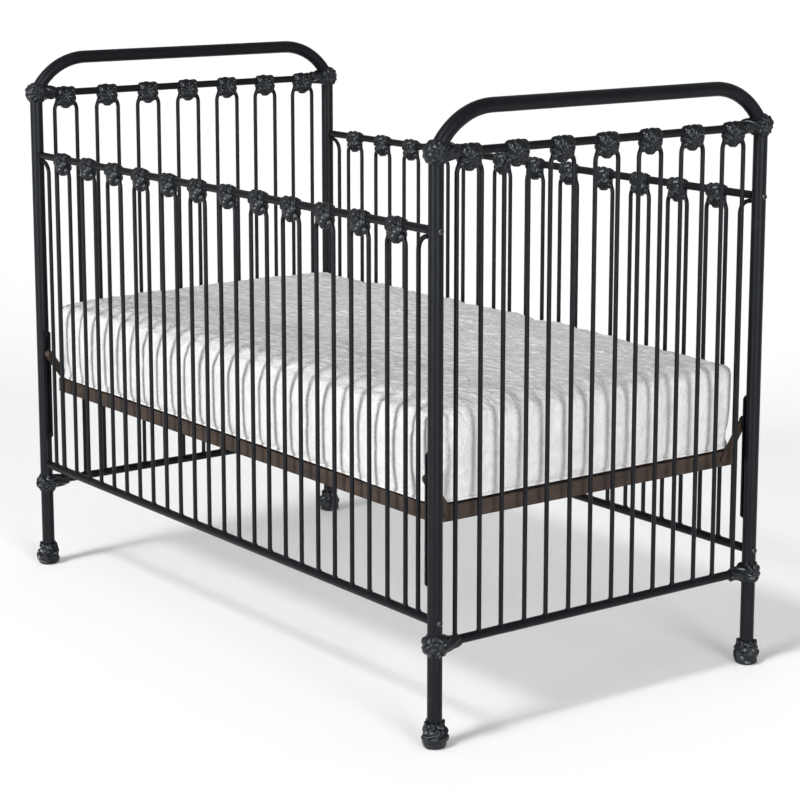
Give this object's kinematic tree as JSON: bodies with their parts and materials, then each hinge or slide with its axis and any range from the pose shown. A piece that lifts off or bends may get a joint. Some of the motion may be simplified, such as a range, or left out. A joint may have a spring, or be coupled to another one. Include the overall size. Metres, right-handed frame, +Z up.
{
  "type": "baby crib",
  "caption": "Iron baby crib with bowed ends, hairpin spindle sides, cast knuckles and ball feet, a height-adjustable spring frame and a mattress.",
  "frame": {"origin": "on the floor, under the middle of the crib", "axes": "+X along the crib towards the foot end, +Y across it towards the rear side, +Z up"},
  "size_m": [1.388, 0.769, 1.0722],
  "materials": {
    "black_paint": "matte black powder coat on steel tube, bar and rod",
    "cast_iron_paint": "satin black paint on rough castings",
    "bolt_finish": "black oxide socket screws",
    "frame_paint": "dark brown dipped paint on angle iron",
    "spring_wire": "bright drawn wire",
    "mattress_cover": "white cotton sateen cover with a fine weave"
  },
  "bodies": {
    "frame": {"foot_bow": "black_paint", "foot_crossbar": "black_paint", "foot_bottom_rail": "black_paint", "foot_spindles": "black_paint", "foot_hairpin_bends": "black_paint", "foot_knuckles": "cast_iron_paint", "foot_front_post": "black_paint", "foot_front_top_casting": "cast_iron_paint", "foot_front_bottom_casting": "cast_iron_paint", "foot_front_foot": "cast_iron_paint", "foot_front_height_strip": "black_paint", "foot_rear_post": "black_paint", "foot_rear_top_casting": "cast_iron_paint", "foot_rear_bottom_casting": "cast_iron_paint", "foot_rear_foot": "cast_iron_paint", "foot_rear_height_strip": "black_paint", "head_bow": "black_paint", "head_crossbar": "black_paint", "head_bottom_rail": "black_paint", "head_spindles": "black_paint", "head_hairpin_bends": "black_paint", "head_knuckles": "cast_iron_paint", "head_front_post": "black_paint", "head_front_top_casting": "cast_iron_paint", "head_front_bottom_casting": "cast_iron_paint", "head_front_foot": "cast_iron_paint", "head_front_height_strip": "black_paint", "head_rear_post": "black_paint", "head_rear_top_casting": "cast_iron_paint", "head_rear_bottom_casting": "cast_iron_paint", "head_rear_foot": "cast_iron_paint", "head_rear_height_strip": "black_paint", "front_top_rail": "black_paint", "front_bottom_rail": "black_paint", "front_spindles": "black_paint", "front_hairpin_bends": "black_paint", "front_knuckles": "cast_iron_paint", "front_end_spindles": "black_paint", "rear_top_rail": "black_paint", "rear_bottom_rail": "black_paint", "rear_spindles": "black_paint", "rear_hairpin_bends": "black_paint", "rear_knuckles": "cast_iron_paint", "rear_end_spindles": "black_paint", "side_bolts": "bolt_finish"},
    "mattress_support": {"foot_front_hanger_arm": "frame_paint", "foot_rear_hanger_arm": "frame_paint", "support_foot_rail": "frame_paint", "head_front_hanger_arm": "frame_paint", "head_rear_hanger_arm": "frame_paint", "support_head_rail": "frame_paint", "support_front_rail": "frame_paint", "support_rear_rail": "frame_paint", "hanger_studs": "frame_paint", "mesh_long_wires": "spring_wire", "mesh_cross_wires": "spring_wire", "mesh_springs": "spring_wire"},
    "mattress": {"mattress": "mattress_cover"}
  },
  "joints": [
    {"name": "support_height", "type": "slide", "parent": "frame", "child": "mattress_support", "axis": [0, 0, 1], "range_m": [-0.165, 0]},
    {"name": "mattress_lift", "type": "slide", "parent": "mattress_support", "child": "mattress", "axis": [0, 0, 1], "range_m": [0, 0.6]}
  ]
}
